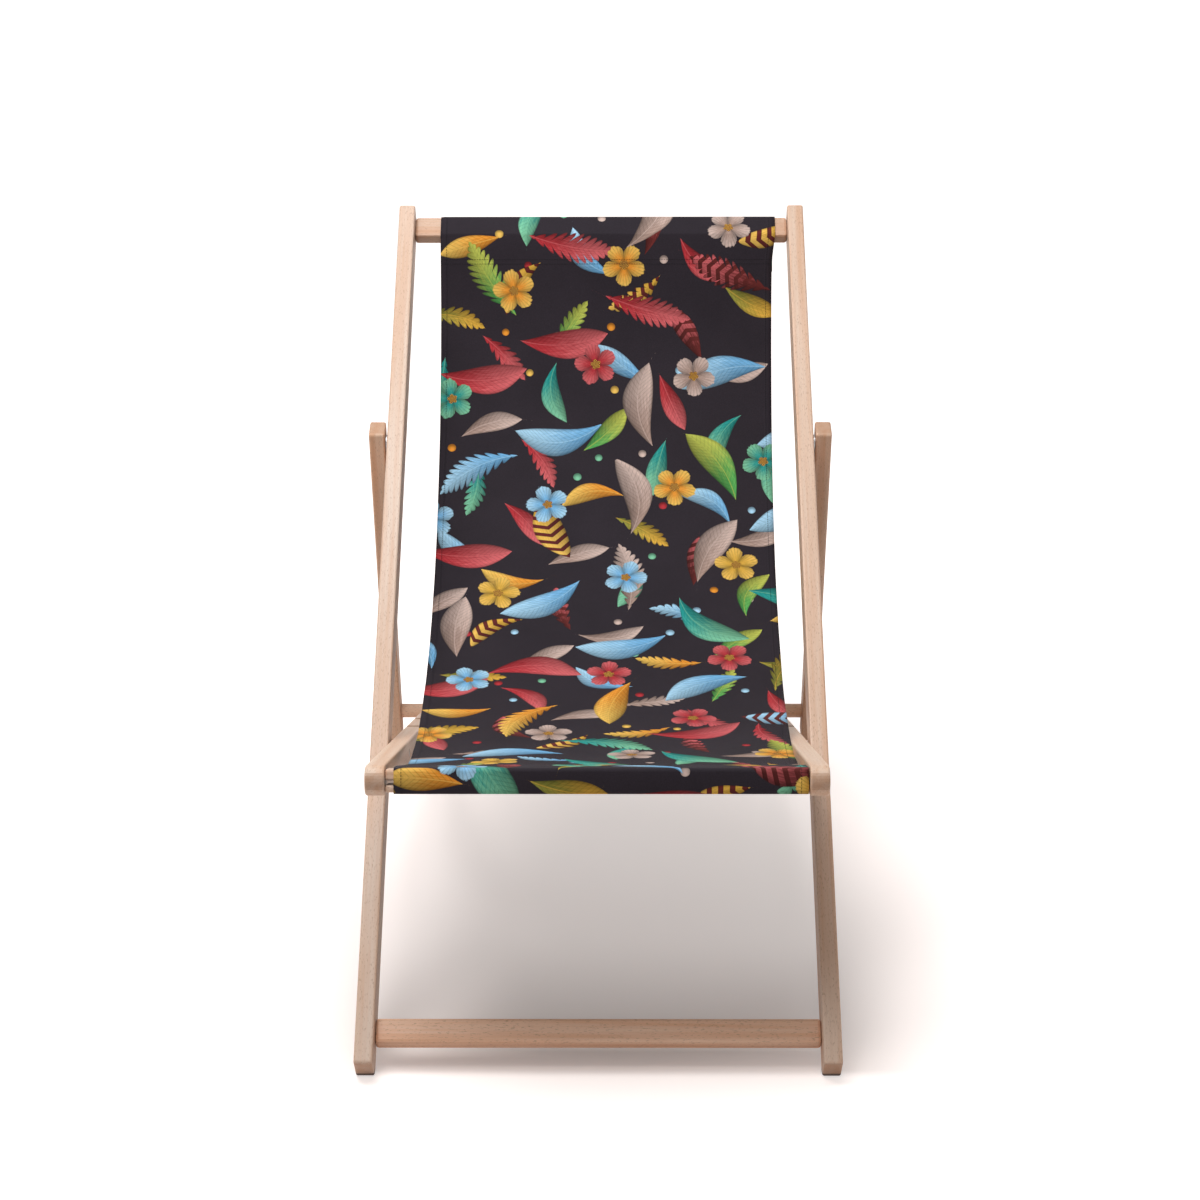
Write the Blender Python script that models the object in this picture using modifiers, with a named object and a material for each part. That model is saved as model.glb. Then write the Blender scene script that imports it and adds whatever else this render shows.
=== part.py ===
"""Wooden folding deck chair with a fabric sling, built from three hinged frames.

The long frame runs from the front feet up to the head, the seat frame crosses it from the
knee down to the rear feet, and the prop frame hangs from the long frame and drops its round
bar into notches on the seat rails. X runs across the chair, +Y to the back, +Z up.
"""

import math

import bmesh
import bpy
from mathutils import Matrix, Vector

CHAIR_NAME = "deck_chair"

# Widths across the chair, from the outermost legs inwards
STILE_OUTER = 0.2778
STILE_THICK = 0.0216
RAIL_THICK = 0.0217
LEG_THICK = 0.0207
FRAME_GAP = 0.0029
TOUCH_GAP = 0.0003

STILE_INNER = STILE_OUTER - STILE_THICK
RAIL_OUTER = STILE_INNER - FRAME_GAP
RAIL_INNER = RAIL_OUTER - RAIL_THICK
LEG_INNER = STILE_OUTER + FRAME_GAP
LEG_OUTER = LEG_INNER + LEG_THICK

# Long frame, measured along the stile from its foot
STILE_LENGTH = 1.2582
STILE_DEPTH = 0.044
MAIN_PIVOT_AT = 0.4110
PROP_PIVOT_AT = 0.8725
TOP_BAR_AT = 1.2332
BOTTOM_BAR_AT = 0.0472
BAR_SET_BACK = 0.004
TOP_BAR = (0.0325, 0.0186)
BOTTOM_BAR = (0.0300, 0.0200)
STILE_FOOT_FLAT = 0.010

# Seat frame, measured along the rail from the main pivot
RAIL_HEIGHT = 0.0334
RAIL_FRONT = 0.3646
RAIL_REAR = 0.7657
RAIL_FOOT_FLAT = 0.016
BATTEN_DEPTH = 0.020
UPPER_BATTEN = 0.0120
LOWER_BATTEN = 0.0090
BATTEN_SLOT = 0.0043
STRETCHER = (0.0300, 0.0180)
STRETCHER_FROM_END = 0.060

# Prop frame, measured along the leg from its pivot
LEG_WIDTH = 0.0332
LEG_HEAD = 0.0238
LEG_TAIL = 0.0425
PROP_REACH = 0.4413
PROP_BAR_RADIUS = 0.00975

# Notches in the rails: the prop bar rests in the last one
REST_NOTCH_AT = 0.4973
NOTCH_PITCH = 0.138
NOTCH_COUNT = 3
NOTCH_SINK = 0.0085

# Edges and joints
EDGE_ROUND = 0.0022
END_ROUND = 0.0040
BAR_ROUND = 0.0035
BATTEN_ROUND = 0.0030
TENON_DEEP = 0.012
TENON_SHARE = 0.6
DOWEL_TENON_RADIUS = 0.0065

# Bolts, nuts and washers
BOLT_RADIUS = 0.0030
HEAD_RADIUS = 0.0085
HEAD_THICK = 0.0037
NUT_FLATS = 0.0100
NUT_THICK = 0.0050
WASHER_RADIUS = 0.0110
RECESS_CLEAR = 0.0005
RECESS_SUNK = 0.0004
NUT_EDGE = 0.0005

# Flat faces that stand for a curve
ROUND_STEPS = 28
CORNER_STEPS = 4
KNEE_STEPS = 16
NOTCH_STEPS = 14
POCKET_CORNER_STEPS = 5
DOME_STEPS = 4

# Sling: a canvas sheet with a sewn pocket round each end bar, hung a little off centre
SLING_CLEAR_RIGHT = 0.0094
SLING_CLEAR_LEFT = 0.0014
CANVAS_THICK = 0.0016
POCKET_GAP = 0.0004
TOP_SEAM_BELOW = 0.036
FRONT_SEAM_BEHIND = 0.043
TOP_HANG_ANGLE = math.radians(79.0)
FRONT_HANG_ANGLE = math.radians(28.8)
TOP_HANG_REACH = 0.373
FRONT_HANG_REACH = 0.470
SEAM_LENGTH = 0.008
SHEET_STEPS = 40

SLING_WIDTH = 2 * RAIL_INNER - SLING_CLEAR_RIGHT - SLING_CLEAR_LEFT
SLING_OFFSET = (SLING_CLEAR_RIGHT - SLING_CLEAR_LEFT) / 2
PIVOTS_APART = PROP_PIVOT_AT - MAIN_PIVOT_AT
KNEE_CENTRE = RAIL_FRONT - RAIL_HEIGHT / 2
STRETCHER_AT = RAIL_REAR - STRETCHER_FROM_END
BAR_ABOVE_RAIL = RAIL_HEIGHT / 2 + PROP_BAR_RADIUS - NOTCH_SINK

# Radius and depth of the round recesses for a bolt's head and for a nut
HEAD_RECESS = (HEAD_RADIUS + RECESS_CLEAR, HEAD_THICK + TOUCH_GAP + RECESS_SUNK)
NUT_RECESS = (NUT_FLATS / math.sqrt(3) + RECESS_CLEAR, NUT_THICK + TOUCH_GAP + RECESS_SUNK)

# Faces that meet at less than the first are one flat face; past the second is a hard edge
FLAT_ANGLE = math.radians(0.5)
HARD_ANGLE = math.radians(40)

# Points nearer than this are one point
MERGE_GAP = 0.00001

# Turns an outline drawn in X and Y into a side view that is extruded across the chair
SIDE_ON = Matrix(((0, 0, 1, 0), (1, 0, 0, 0), (0, 1, 0, 0), (0, 0, 0, 1)))


def clear_scene():
    """Remove every object that the file opened with."""
    for old in list(bpy.data.objects):
        bpy.data.objects.remove(old, do_unlink=True)


def new_collection(name):
    """A collection linked under the scene."""
    collection = bpy.data.collections.new(name)
    bpy.context.scene.collection.children.link(collection)
    return collection


clear_scene()
PARTS = new_collection(CHAIR_NAME)
CUTTERS = new_collection("cutters")


def notch_position(index):
    """Distance of a notch from the main pivot; index 0 is the one that holds the bar."""
    return REST_NOTCH_AT - index * NOTCH_PITCH


def foot_depth(reach, half_height, flat, slope):
    """How far below the main pivot a leg reaches that stands on a flat at this slope."""
    corner = reach * math.sin(slope) + half_height * math.cos(slope)
    return corner - flat * math.sin(slope) * math.cos(slope)


def crossing_angle():
    """Angle between the long frame and the seat rails with the bar in its notch."""
    reach = math.hypot(REST_NOTCH_AT, BAR_ABOVE_RAIL)
    cosine = (PIVOTS_APART ** 2 + reach ** 2 - PROP_REACH ** 2) / (2 * PIVOTS_APART * reach)
    return math.acos(cosine) + math.atan2(BAR_ABOVE_RAIL, REST_NOTCH_AT)


def stile_lean():
    """Lean of the stiles at which the front and rear feet stand on one floor."""
    crossing = crossing_angle()
    low = 0.0
    high = crossing
    for _ in range(60):
        lean = (low + high) / 2
        stile = foot_depth(MAIN_PIVOT_AT, STILE_DEPTH / 2, STILE_FOOT_FLAT, lean)
        rail = foot_depth(RAIL_REAR, RAIL_HEIGHT / 2, RAIL_FOOT_FLAT, crossing - lean)
        if stile > rail:
            high = lean
        else:
            low = lean
    return (low + high) / 2


LEAN = stile_lean()
RAIL_SLOPE = crossing_angle() - LEAN
MAIN_PIVOT_HEIGHT = foot_depth(MAIN_PIVOT_AT, STILE_DEPTH / 2, STILE_FOOT_FLAT, LEAN)


class Frame:
    """A flat frame of the chair: its turning point in side view and its slope."""

    def __init__(self, name, back, height, angle):
        self.name = name
        self.back = back
        self.height = height
        self.angle = angle

    def point(self, along, out):
        """Side-view point (Y, Z) of a place on the frame."""
        back = self.back + along * math.cos(self.angle) - out * math.sin(self.angle)
        height = self.height + along * math.sin(self.angle) + out * math.cos(self.angle)
        return Vector((back, height))

    def empty(self):
        """The parent that carries the frame's pieces."""
        holder = bpy.data.objects.new(self.name, None)
        holder.location = (0, self.back, self.height)
        holder.rotation_euler = (self.angle, 0, 0)
        PARTS.objects.link(holder)
        return holder


def main_pivot_back():
    """Y of the main pivot, with the chair centred between its knee and its rear feet."""
    front = -KNEE_CENTRE * math.cos(RAIL_SLOPE) - RAIL_HEIGHT / 2
    rear_corner = RAIL_REAR * math.cos(RAIL_SLOPE) + RAIL_HEIGHT / 2 * math.sin(RAIL_SLOPE)
    return -(front + rear_corner) / 2


LONG = Frame("long_frame", main_pivot_back(), MAIN_PIVOT_HEIGHT, LEAN)
SEAT = Frame("seat_frame", main_pivot_back(), MAIN_PIVOT_HEIGHT, -RAIL_SLOPE)
PROP_PIVOT = LONG.point(PIVOTS_APART, 0)
BAR_CENTRE = SEAT.point(REST_NOTCH_AT, BAR_ABOVE_RAIL)
PROP_ANGLE = math.atan2(BAR_CENTRE.y - PROP_PIVOT.y, BAR_CENTRE.x - PROP_PIVOT.x)
PROP = Frame("prop_frame", PROP_PIVOT.x, PROP_PIVOT.y, PROP_ANGLE)


def finish_material(piece, colour, roughness, metallic):
    """Give a piece its own Principled material."""
    material = bpy.data.materials.new(piece.name + "_finish")
    material.use_nodes = True
    shader = material.node_tree.nodes["Principled BSDF"]
    shader.inputs["Base Color"].default_value = (*colour, 1)
    shader.inputs["Roughness"].default_value = roughness
    shader.inputs["Metallic"].default_value = metallic
    piece.data.materials.clear()
    piece.data.materials.append(material)


def wood(piece):
    """Pale oiled wood."""
    finish_material(piece, (0.66, 0.47, 0.35), 0.6, 0.0)


def steel(piece):
    """Zinc-plated fastener."""
    finish_material(piece, (0.55, 0.55, 0.56), 0.35, 1.0)


def canvas(piece):
    """Black printed canvas."""
    finish_material(piece, (0.03, 0.03, 0.035), 0.85, 0.0)


def arc(centre_x, centre_y, radius, start, end, steps):
    """Points on an arc, both ends included, with angles in degrees."""
    points = []
    for step in range(steps + 1):
        angle = math.radians(start + (end - start) * step / steps)
        points.append((centre_x + radius * math.cos(angle), centre_y + radius * math.sin(angle)))
    return points


def plate(name, outlines, centre_x, thick, collection):
    """A side-view outline extruded across the chair; further outlines in it are holes."""
    curve = bpy.data.curves.new(name, "CURVE")
    curve.dimensions = "2D"
    curve.fill_mode = "BOTH"
    curve.extrude = thick / 2
    for outline in outlines:
        spline = curve.splines.new("POLY")
        spline.points.add(len(outline) - 1)
        for point, (along, out) in zip(spline.points, outline):
            point.co = (along, out, 0, 1)
        spline.use_cyclic_u = True
    drawn = bpy.data.objects.new(name + "_outline", curve)
    collection.objects.link(drawn)
    bpy.context.view_layer.update()
    evaluated = drawn.evaluated_get(bpy.context.evaluated_depsgraph_get())
    mesh = bpy.data.meshes.new_from_object(evaluated)
    mesh.name = name
    bpy.data.objects.remove(drawn, do_unlink=True)
    work = bmesh.new()
    work.from_mesh(mesh)
    bmesh.ops.remove_doubles(work, verts=work.verts, dist=MERGE_GAP)
    bmesh.ops.transform(work, matrix=SIDE_ON, verts=work.verts)
    if len(outlines) == 1:
        bmesh.ops.dissolve_limit(work, angle_limit=FLAT_ANGLE, verts=work.verts,
                                 edges=work.edges)
    bmesh.ops.recalc_face_normals(work, faces=work.faces)
    work.to_mesh(mesh)
    work.free()
    solid = bpy.data.objects.new(name, mesh)
    solid.location.x = centre_x
    collection.objects.link(solid)
    return solid


def move_to(piece, collection):
    """Take an object out of its collections and put it in this one."""
    for holder in list(piece.users_collection):
        holder.objects.unlink(piece)
    collection.objects.link(piece)


def box(name, size, location, collection):
    """A block with its scale applied to its mesh."""
    bpy.ops.mesh.primitive_cube_add(size=1)
    block = bpy.context.object
    block.name = name
    move_to(block, collection)
    block.data.transform(Matrix.Diagonal((*size, 1)))
    block.location = location
    return block


def cross_hole(name, radius, start_x, end_x, along):
    """A round cutter whose axis runs across the chair."""
    bpy.ops.mesh.primitive_cylinder_add(vertices=ROUND_STEPS, radius=radius,
                                        depth=abs(end_x - start_x))
    cutter = bpy.context.object
    cutter.name = name
    move_to(cutter, CUTTERS)
    cutter.data.transform(Matrix.Rotation(math.pi / 2, 4, "Y"))
    cutter.location = ((start_x + end_x) / 2, along, 0)
    return cutter


def turned(name, profile, ring=False):
    """A turned piece about its own Z axis, from a profile of (radius, height) from the top."""
    mesh = bpy.data.meshes.new(name)
    work = bmesh.new()
    verts = [work.verts.new((radius, 0, height)) for radius, height in profile]
    for start, end in zip(verts, verts[1:]):
        work.edges.new((start, end))
    if ring:
        work.edges.new((verts[-1], verts[0]))
    work.to_mesh(mesh)
    work.free()
    piece = bpy.data.objects.new(name, mesh)
    PARTS.objects.link(piece)
    screw = piece.modifiers.new("turn", "SCREW")
    screw.axis = "Z"
    screw.steps = ROUND_STEPS
    screw.render_steps = ROUND_STEPS
    screw.use_merge_vertices = True
    screw.merge_threshold = MERGE_GAP
    screw.use_smooth_shade = True
    return piece


def soften(piece, width, segments=2):
    """Round a piece's edges."""
    bevel = piece.modifiers.new("edges", "BEVEL")
    bevel.width = width
    bevel.segments = segments
    bevel.limit_method = "ANGLE"
    bevel.angle_limit = HARD_ANGLE
    return bevel


def combine(piece, other, operation):
    """Cut or join a piece with another that stays out of the build."""
    other.hide_render = True
    other.display_type = "WIRE"
    boolean = piece.modifiers.new(other.name, "BOOLEAN")
    boolean.operation = operation
    boolean.object = other
    boolean.solver = "EXACT"


def cut(piece, cutter):
    """Cut a piece, with the cutter carried by the same frame."""
    cutter.parent = piece.parent
    combine(piece, cutter, "DIFFERENCE")


def side_name(name, side):
    """Name of a piece on one side of the chair; the sitter's own left and right."""
    return name + ("_left" if side > 0 else "_right")


def floor_cut(corner_along, half, flat, slope, inward):
    """Both ends of a foot's flat: its edge on the leg's underside and its edge on the end."""
    on_underside = (corner_along + inward * flat * math.cos(slope), -half)
    on_end = (corner_along, -half + flat * math.sin(slope))
    return [on_underside, on_end]


def stile_outline():
    """Side view of a stile, from its foot to its head."""
    foot = -MAIN_PIVOT_AT
    head = STILE_LENGTH - MAIN_PIVOT_AT
    half = STILE_DEPTH / 2
    inset = half - END_ROUND
    points = floor_cut(foot, half, STILE_FOOT_FLAT, LEAN, 1)
    points.reverse()
    points += arc(head - END_ROUND, -inset, END_ROUND, -90, 0, CORNER_STEPS)
    points += arc(head - END_ROUND, inset, END_ROUND, 0, 90, CORNER_STEPS)
    points += arc(foot + END_ROUND, inset, END_ROUND, 90, 180, CORNER_STEPS)
    return points


def rail_outline():
    """Side view of a seat rail, half round at the knee and cut flat at the rear foot."""
    half = RAIL_HEIGHT / 2
    points = floor_cut(RAIL_REAR, half, RAIL_FOOT_FLAT, RAIL_SLOPE, -1)
    points += arc(RAIL_REAR - END_ROUND, half - END_ROUND, END_ROUND, 0, 90, CORNER_STEPS)
    points += arc(half - RAIL_FRONT, 0, half, 90, 270, KNEE_STEPS)
    return points


def leg_outline():
    """Side view of a prop leg, with its corners eased at both ends."""
    tail = PROP_REACH + LEG_TAIL
    inset = LEG_WIDTH / 2 - END_ROUND
    points = arc(tail - END_ROUND, -inset, END_ROUND, -90, 0, CORNER_STEPS)
    points += arc(tail - END_ROUND, inset, END_ROUND, 0, 90, CORNER_STEPS)
    points += arc(END_ROUND - LEG_HEAD, inset, END_ROUND, 90, 180, CORNER_STEPS)
    points += arc(END_ROUND - LEG_HEAD, -inset, END_ROUND, 180, 270, CORNER_STEPS)
    return points


def notch_outline(along):
    """A round-bottomed notch that fits the prop bar and is open upwards."""
    radius = PROP_BAR_RADIUS + TOUCH_GAP
    points = arc(along, BAR_ABOVE_RAIL, radius, 180, 360, NOTCH_STEPS)
    points.append((along + radius, RAIL_HEIGHT))
    points.append((along - radius, RAIL_HEIGHT))
    return points


def leg_plate(name, holder, outline, centre_x, thick):
    """A flat wooden member of a frame, with its edges rounded."""
    member = plate(name, [outline], centre_x, thick, PARTS)
    member.parent = holder
    soften(member, EDGE_ROUND)
    wood(member)
    return member


def tenon_section(section):
    """Section of the tenon on a bar with this section."""
    return (section[0] * TENON_SHARE, section[1] * TENON_SHARE)


def cross_bar(name, holder, section, inner_face, along, out, rounding):
    """A bar between two legs, with a tenon into each of them."""
    bar = box(name, (2 * (inner_face - TOUCH_GAP), *section), (0, along, out), PARTS)
    bar.parent = holder
    soften(bar, rounding)
    core_length = 2 * (inner_face + TENON_DEEP - TOUCH_GAP)
    core_size = (core_length, *tenon_section(section))
    core = box(name + "_tenons", core_size, (0, along, out), CUTTERS)
    core.parent = holder
    combine(bar, core, "UNION")
    wood(bar)


def mortise(piece, side, section, inner_face, along, out):
    """A blind hole in a leg's inner face for a bar's tenon."""
    tenon = tenon_section(section)
    size = (2 * TENON_DEEP, tenon[0] + 2 * TOUCH_GAP, tenon[1] + 2 * TOUCH_GAP)
    cut(piece, box(piece.name + "_mortise", size, (side * inner_face, along, out), CUTTERS))


def pivot_hole(piece, side, along, sunk_face, plain_face, recess):
    """A bolt hole through a leg, with a round recess for a head or nut in one face."""
    outward = math.copysign(1, sunk_face - plain_face)
    beyond = outward * LEG_THICK / 2
    radius, deep = recess
    hole = cross_hole(piece.name + "_hole", BOLT_RADIUS + TOUCH_GAP,
                      side * (plain_face - beyond), side * (sunk_face + beyond), along)
    cut(piece, hole)
    sink = cross_hole(piece.name + "_recess", radius, side * (sunk_face - outward * deep),
                      side * (sunk_face + beyond), along)
    cut(piece, sink)


def stile(holder, side):
    """One side of the long frame."""
    name = side_name("stile", side)
    centre_x = side * (STILE_OUTER + STILE_INNER) / 2
    member = leg_plate(name, holder, stile_outline(), centre_x, STILE_THICK)
    pivot_hole(member, side, 0, STILE_OUTER, STILE_INNER, HEAD_RECESS)
    pivot_hole(member, side, PIVOTS_APART, STILE_INNER, STILE_OUTER, NUT_RECESS)
    top = TOP_BAR_AT - MAIN_PIVOT_AT
    bottom = BOTTOM_BAR_AT - MAIN_PIVOT_AT
    mortise(member, side, TOP_BAR, STILE_INNER, top, -BAR_SET_BACK)
    mortise(member, side, BOTTOM_BAR, STILE_INNER, bottom, -BAR_SET_BACK)


def rail(holder, side):
    """One side of the seat frame, with its rack of notches."""
    name = side_name("seat_rail", side)
    centre_x = side * (RAIL_OUTER + RAIL_INNER) / 2
    member = leg_plate(name, holder, rail_outline(), centre_x, RAIL_THICK)
    for index in range(NOTCH_COUNT):
        cutter_name = name + "_notch_" + str(index + 1)
        outline = notch_outline(notch_position(index))
        cut(member, plate(cutter_name, [outline], centre_x, 2 * RAIL_THICK, CUTTERS))
    pivot_hole(member, side, 0, RAIL_INNER, RAIL_OUTER, NUT_RECESS)
    for section, out in front_battens():
        mortise(member, side, section, RAIL_INNER, -KNEE_CENTRE, out)
    mortise(member, side, STRETCHER, RAIL_INNER, STRETCHER_AT, 0)


def prop_leg(holder, side):
    """One side of the prop frame."""
    name = side_name("prop_leg", side)
    centre_x = side * (LEG_INNER + LEG_OUTER) / 2
    member = leg_plate(name, holder, leg_outline(), centre_x, LEG_THICK)
    pivot_hole(member, side, 0, LEG_OUTER, LEG_INNER, HEAD_RECESS)
    socket_radius = DOWEL_TENON_RADIUS + TOUCH_GAP
    socket = cross_hole(name + "_socket", socket_radius, side * (LEG_INNER - TENON_DEEP),
                        side * (LEG_INNER + TENON_DEEP), PROP_REACH)
    cut(member, socket)


def front_battens():
    """Section of each front batten and its height on the rail, upper one first."""
    total = UPPER_BATTEN + BATTEN_SLOT + LOWER_BATTEN
    upper_out = (total - UPPER_BATTEN) / 2
    lower_out = (LOWER_BATTEN - total) / 2
    return [((BATTEN_DEPTH, UPPER_BATTEN), upper_out), ((BATTEN_DEPTH, LOWER_BATTEN), lower_out)]


def prop_bar(holder):
    """The round bar that drops into the notches."""
    shoulder = LEG_INNER - TOUCH_GAP
    end = LEG_INNER + TENON_DEEP - TOUCH_GAP
    top_half = [(0, end), (DOWEL_TENON_RADIUS, end), (DOWEL_TENON_RADIUS, shoulder),
                (PROP_BAR_RADIUS, shoulder)]
    bottom_half = [(radius, -height) for radius, height in reversed(top_half)]
    bar = turned("prop_bar", top_half + bottom_half)
    bar.parent = holder
    bar.location.y = PROP_REACH
    bar.rotation_euler.y = math.pi / 2
    wood(bar)


def place_fastener(piece, holder, side, along):
    """Put a turned fastener on a pivot, with its Z axis pointing out of the chair."""
    piece.parent = holder
    piece.location.y = along
    piece.rotation_euler.y = side * math.pi / 2
    steel(piece)


def bolt(name, holder, side, along, head_face, nut_face):
    """A domed bolt sunk in the outer face, whose shank ends level with its nut."""
    under = head_face - HEAD_RECESS[1] + TOUCH_GAP
    top = under + HEAD_THICK
    end = nut_face + NUT_RECESS[1] - TOUCH_GAP - NUT_THICK
    dome = HEAD_THICK / 2
    profile = [(0, top)]
    for step in range(1, DOME_STEPS + 1):
        angle = math.pi / 2 * step / DOME_STEPS
        profile.append((HEAD_RADIUS * math.sin(angle), top - dome + dome * math.cos(angle)))
    profile += [(HEAD_RADIUS, under), (BOLT_RADIUS, under), (BOLT_RADIUS, end), (0, end)]
    place_fastener(turned(side_name(name, side), profile), holder, side, along)


def washer(name, holder, side, along, inner_x, outer_x):
    """A plain washer that spaces two frames."""
    inner = BOLT_RADIUS + TOUCH_GAP
    top = outer_x - TOUCH_GAP
    bottom = inner_x + TOUCH_GAP
    profile = [(inner, top), (WASHER_RADIUS, top), (WASHER_RADIUS, bottom), (inner, bottom)]
    place_fastener(turned(side_name(name, side), profile, ring=True), holder, side, along)


def nut(name, holder, side, along, nut_face):
    """A hexagon nut in its recess on the inner face."""
    bpy.ops.mesh.primitive_cylinder_add(vertices=6, radius=NUT_FLATS / math.sqrt(3),
                                        depth=NUT_THICK)
    piece = bpy.context.object
    piece.name = side_name(name, side)
    move_to(piece, PARTS)
    piece.data.transform(Matrix.Rotation(math.pi / 2, 4, "Y"))
    piece.parent = holder
    floor_x = nut_face + NUT_RECESS[1] - TOUCH_GAP
    piece.location = (side * (floor_x - NUT_THICK / 2), along, 0)
    soften(piece, NUT_EDGE, 1)
    near = side * (floor_x - 2 * NUT_THICK)
    far = side * (floor_x + NUT_THICK)
    cut(piece, cross_hole(piece.name + "_bore", BOLT_RADIUS + TOUCH_GAP, near, far, along))
    steel(piece)


def rounded_block(frame, along, out, size, radius, grow):
    """Side-view points of a bar's rounded outline, grown all round."""
    half_along = size[0] / 2 - radius
    half_out = size[1] / 2 - radius
    points = []
    for sign_along, sign_out, start in ((1, 1, 0), (-1, 1, 90), (-1, -1, 180), (1, -1, 270)):
        corner = arc(along + sign_along * half_along, out + sign_out * half_out,
                     radius + grow, start, start + 90, POCKET_CORNER_STEPS)
        points += [frame.point(*place) for place in corner]
    return points


def hull(points):
    """Convex outline of side-view points, anticlockwise."""
    ordered = sorted((point.x, point.y) for point in points)
    chains = []
    for run in (ordered, list(reversed(ordered))):
        chain = []
        for place in run:
            while len(chain) > 1 and turn(chain[-2], chain[-1], place) <= 0:
                chain.pop()
            chain.append(place)
        chains.append(chain[:-1])
    return [Vector(place) for place in chains[0] + chains[1]]


def turn(first, second, third):
    """Positive where three points turn anticlockwise."""
    return ((second[0] - first[0]) * (third[1] - first[1])
            - (second[1] - first[1]) * (third[0] - first[0]))


def pocket(block, seam, toward_sheet):
    """Inside of a sewn pocket: the bar's outline drawn out to its seam."""
    inner_tip = seam - toward_sheet * SEAM_LENGTH
    return hull(block + [inner_tip])


def pocket_outside(block, first, last):
    """Outside of a pocket, from one side of its seam round the bar to the other."""
    outline = hull(block + [first, last])
    start = min(range(len(outline)), key=lambda index: (outline[index] - first).length)
    ordered = outline[start:] + outline[:start]
    if (ordered[1] - last).length < (ordered[-1] - last).length:
        ordered = [ordered[0]] + list(reversed(ordered[1:]))
    return ordered


def bezier(start, start_handle, end_handle, end, share):
    """Point on a cubic curve."""
    rest = 1 - share
    return (start * rest ** 3 + start_handle * (3 * rest * rest * share)
            + end_handle * (3 * rest * share * share) + end * share ** 3)


def sheet_line(top_seam, front_seam):
    """Side view of the hanging sheet between its two seams."""
    chord = (front_seam - top_seam).length
    top_direction = Vector((-math.cos(TOP_HANG_ANGLE), -math.sin(TOP_HANG_ANGLE)))
    front_direction = Vector((math.cos(FRONT_HANG_ANGLE), -math.sin(FRONT_HANG_ANGLE)))
    top_handle = top_seam + top_direction * (chord * TOP_HANG_REACH)
    front_handle = front_seam + front_direction * (chord * FRONT_HANG_REACH)
    return [bezier(top_seam, top_handle, front_handle, front_seam, step / SHEET_STEPS)
            for step in range(SHEET_STEPS + 1)]


def sling_outlines():
    """Side view of the sling: its outside and the inside of its two pockets."""
    top_along = TOP_BAR_AT - MAIN_PIVOT_AT
    batten_block = (BATTEN_DEPTH, UPPER_BATTEN + BATTEN_SLOT + LOWER_BATTEN)
    bars = [(LONG, top_along, -BAR_SET_BACK, TOP_BAR, BAR_ROUND),
            (SEAT, -KNEE_CENTRE, 0, batten_block, BATTEN_ROUND)]
    insides = [rounded_block(*bar, POCKET_GAP) for bar in bars]
    outsides = [rounded_block(*bar, POCKET_GAP + CANVAS_THICK) for bar in bars]
    top_lip = LONG.point(top_along - TOP_BAR[0] / 2, TOP_BAR[1] / 2 - BAR_SET_BACK)
    drop = Vector((-math.cos(TOP_HANG_ANGLE), -math.sin(TOP_HANG_ANGLE)))
    top_seam = top_lip + drop * TOP_SEAM_BELOW
    front_lip = SEAT.point(-KNEE_CENTRE, batten_block[1] / 2)
    back_down = Vector((math.cos(RAIL_SLOPE), -math.sin(RAIL_SLOPE)))
    front_seam = front_lip + back_down * FRONT_SEAM_BEHIND
    line = sheet_line(top_seam, front_seam)
    upper = []
    lower = []
    for index, place in enumerate(line):
        ahead = line[min(index + 1, SHEET_STEPS)] - line[max(index - 1, 0)]
        across = Vector((ahead.y, -ahead.x)).normalized()
        plies = 1 if 0 < index < SHEET_STEPS else 2
        upper.append(place + across * (plies * CANVAS_THICK / 2))
        lower.append(place - across * (plies * CANVAS_THICK / 2))
    outside = upper[1:-1]
    outside += pocket_outside(outsides[1], upper[-1], lower[-1])
    outside += list(reversed(lower[1:-1]))
    outside += pocket_outside(outsides[0], lower[0], upper[0])
    top_inside = pocket(insides[0], top_seam, (line[1] - line[0]).normalized())
    front_inside = pocket(insides[1], front_seam, (line[-2] - line[-1]).normalized())
    return [outside, top_inside, front_inside]


def sling():
    """The canvas sheet with a pocket round the top bar and one round the front battens."""
    piece = plate("sling", sling_outlines(), SLING_OFFSET, SLING_WIDTH, PARTS)
    canvas(piece)


def build_long_frame(holder):
    """Stiles, their two bars and the four pivots' fasteners."""
    cross_bar("top_bar", holder, TOP_BAR, STILE_INNER, TOP_BAR_AT - MAIN_PIVOT_AT,
              -BAR_SET_BACK, BAR_ROUND)
    cross_bar("bottom_bar", holder, BOTTOM_BAR, STILE_INNER, BOTTOM_BAR_AT - MAIN_PIVOT_AT,
              -BAR_SET_BACK, BAR_ROUND)
    for side in (-1, 1):
        stile(holder, side)
        bolt("main_bolt", holder, side, 0, STILE_OUTER, RAIL_INNER)
        washer("main_washer", holder, side, 0, RAIL_OUTER, STILE_INNER)
        nut("main_nut", holder, side, 0, RAIL_INNER)
        bolt("prop_bolt", holder, side, PIVOTS_APART, LEG_OUTER, STILE_INNER)
        washer("prop_washer", holder, side, PIVOTS_APART, STILE_OUTER, LEG_INNER)
        nut("prop_nut", holder, side, PIVOTS_APART, STILE_INNER)


def build_seat_frame(holder):
    """Rails, the two front battens and the rear stretcher."""
    names = ("front_batten_upper", "front_batten_lower")
    for name, (section, out) in zip(names, front_battens()):
        cross_bar(name, holder, section, RAIL_INNER, -KNEE_CENTRE, out, BATTEN_ROUND)
    cross_bar("rear_stretcher", holder, STRETCHER, RAIL_INNER, STRETCHER_AT, 0, BAR_ROUND)
    for side in (-1, 1):
        rail(holder, side)


def build_prop_frame(holder):
    """Prop legs and their round bar."""
    prop_bar(holder)
    for side in (-1, 1):
        prop_leg(holder, side)


build_long_frame(LONG.empty())
build_seat_frame(SEAT.empty())
build_prop_frame(PROP.empty())
sling()
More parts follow.
